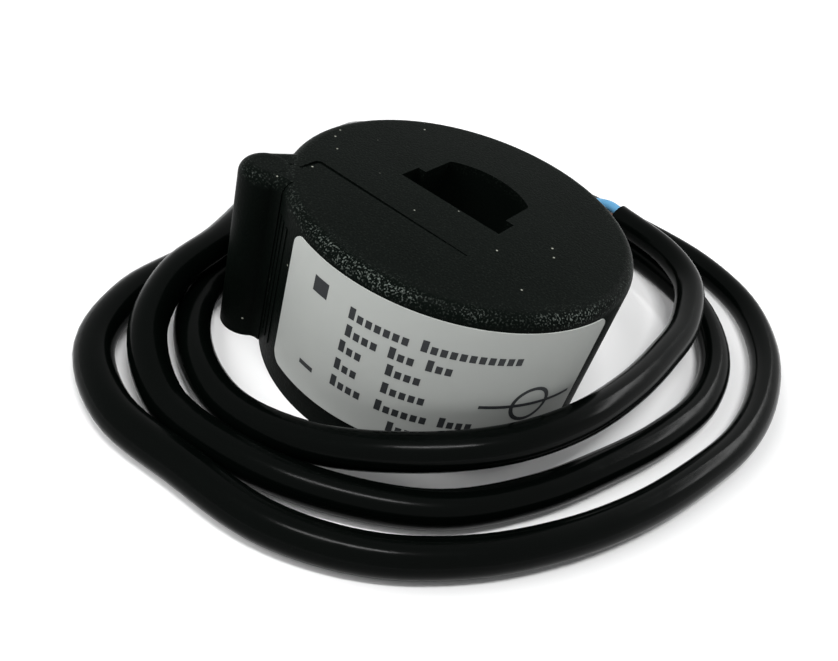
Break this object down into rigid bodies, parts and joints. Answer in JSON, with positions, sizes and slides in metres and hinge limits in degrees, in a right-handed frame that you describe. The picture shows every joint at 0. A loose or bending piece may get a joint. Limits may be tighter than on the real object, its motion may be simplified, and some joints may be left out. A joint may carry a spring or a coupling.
{
  "type": "window current transformer",
  "caption": "Round moulded current transformer with a shaped through window, a side pillar, a wrap-round label and a coiled two-core lead.",
  "frame": {"origin": "centre of the round case's base, on the surface it stands on", "axes": "+Z along the window to the closed top face, +X along the window's slot"},
  "size_m": [0.0952, 0.1145, 0.026],
  "materials": {
    "case_plastic": "fine spark-eroded texture",
    "cover_plastic": "fine texture",
    "label_film": "satin silver-white film",
    "pad_foam": "soft foam",
    "core_steel": "strip-wound",
    "box_plastic": "plain",
    "winding_wire": "enamelled copper wire",
    "tape": "polyester tape",
    "lead_enamel": "sleeved wire",
    "sleeve_plastic": "translucent sleeve",
    "solder": "bright solder",
    "blue_insulation": "semi-gloss",
    "brown_insulation": "semi-gloss",
    "sheath_pvc": "semi-gloss soft PVC",
    "tie_nylon": "plain",
    "relief_rubber": "matte",
    "copper_strands": "tinned copper"
  },
  "bodies": {
    "root": {"case_shell": "case_plastic", "base_cover": "cover_plastic", "label": "label_film", "upper_pad": "pad_foam", "lower_pad": "pad_foam", "toroid_core": "core_steel", "core_box": "box_plastic", "core_lid": "box_plastic", "secondary_winding": "winding_wire", "outer_tape": "tape", "start_lead": "lead_enamel", "finish_lead": "lead_enamel", "blue_splice_sleeve": "sleeve_plastic", "brown_splice_sleeve": "sleeve_plastic", "blue_solder_joint": "solder", "brown_solder_joint": "solder", "inner_blue_core": "blue_insulation", "inner_brown_core": "brown_insulation", "lead_tail": "sheath_pvc", "lead_tie": "tie_nylon", "strain_relief": "relief_rubber", "lead_sheath": "sheath_pvc", "blue_core": "blue_insulation", "brown_core": "brown_insulation", "blue_strands": "copper_strands", "brown_strands": "copper_strands"}
  },
  "joints": []
}
